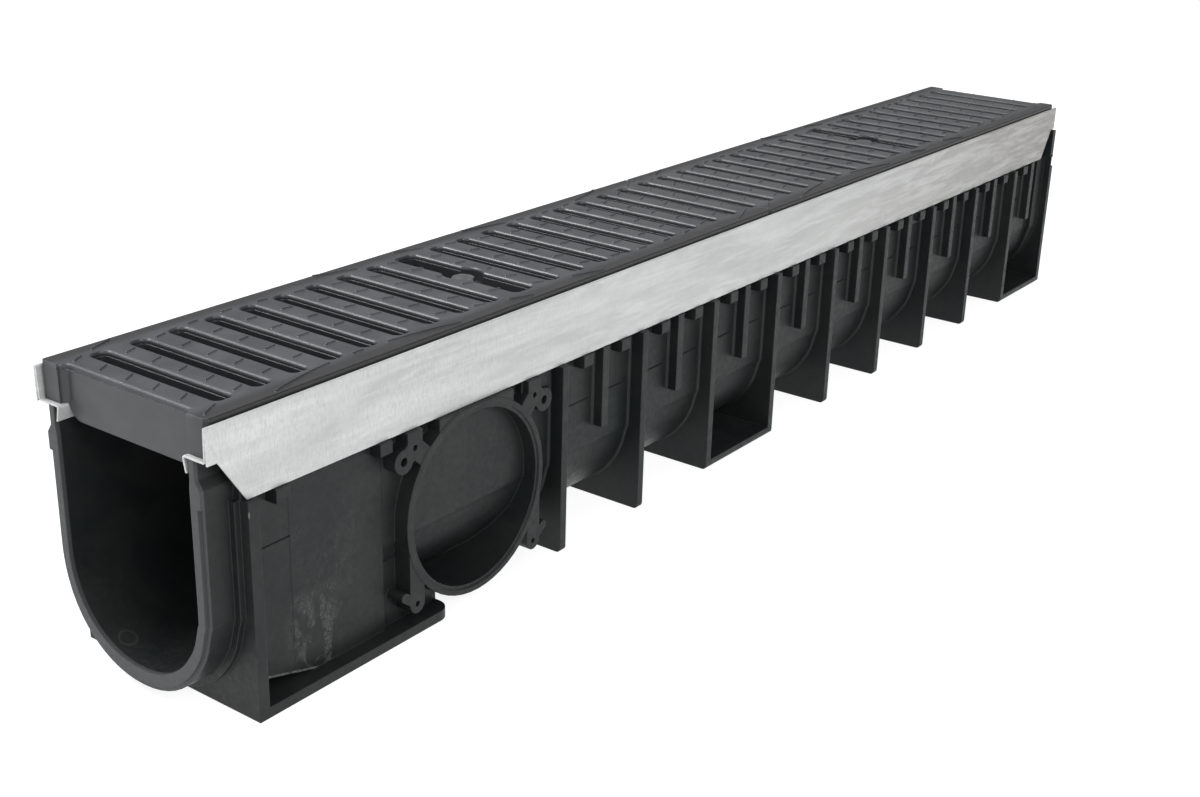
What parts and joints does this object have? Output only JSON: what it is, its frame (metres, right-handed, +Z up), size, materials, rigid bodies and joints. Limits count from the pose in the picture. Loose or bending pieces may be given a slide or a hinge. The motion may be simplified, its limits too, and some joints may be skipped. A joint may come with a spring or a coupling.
{
  "type": "channel drain",
  "caption": "Linear drainage channel with a ribbed round-bottomed trough, folded edge rails, slotted gratings held by turn locks, and a round side outlet on each side.",
  "frame": {"origin": "centre of the channel's length and width, on the plane that the feet stand on", "axes": "+X along the channel from the near end to the far end, +Y across to the back rail, +Z up"},
  "size_m": [1, 0.135, 0.1691],
  "materials": {
    "trough_plastic": "satin black polypropylene",
    "galvanised_sheet": "galvanised steel sheet",
    "grating_plastic": "glass-fibre reinforced plastic, soft gloss",
    "lock_steel": "plain steel"
  },
  "bodies": {
    "channel": {"channel_body": "trough_plastic", "front_edge_rail": "galvanised_sheet", "back_edge_rail": "galvanised_sheet", "grating_near": "grating_plastic", "grating_far": "grating_plastic"},
    "near_lock": {"near_lock_bolt": "lock_steel", "near_lock_washer": "lock_steel", "near_lock_bar": "lock_steel", "near_lock_nut": "lock_steel"},
    "far_lock": {"far_lock_bolt": "lock_steel", "far_lock_washer": "lock_steel", "far_lock_bar": "lock_steel", "far_lock_nut": "lock_steel"}
  },
  "joints": [
    {"name": "near_lock_turn", "type": "hinge", "parent": "channel", "child": "near_lock", "pos_m": [-0.249, 0, 0.156], "axis": [0, 0, 1], "range_deg": [0, 90]},
    {"name": "far_lock_turn", "type": "hinge", "parent": "channel", "child": "far_lock", "pos_m": [0.249, 0, 0.156], "axis": [0, 0, 1], "range_deg": [0, 90]}
  ]
}
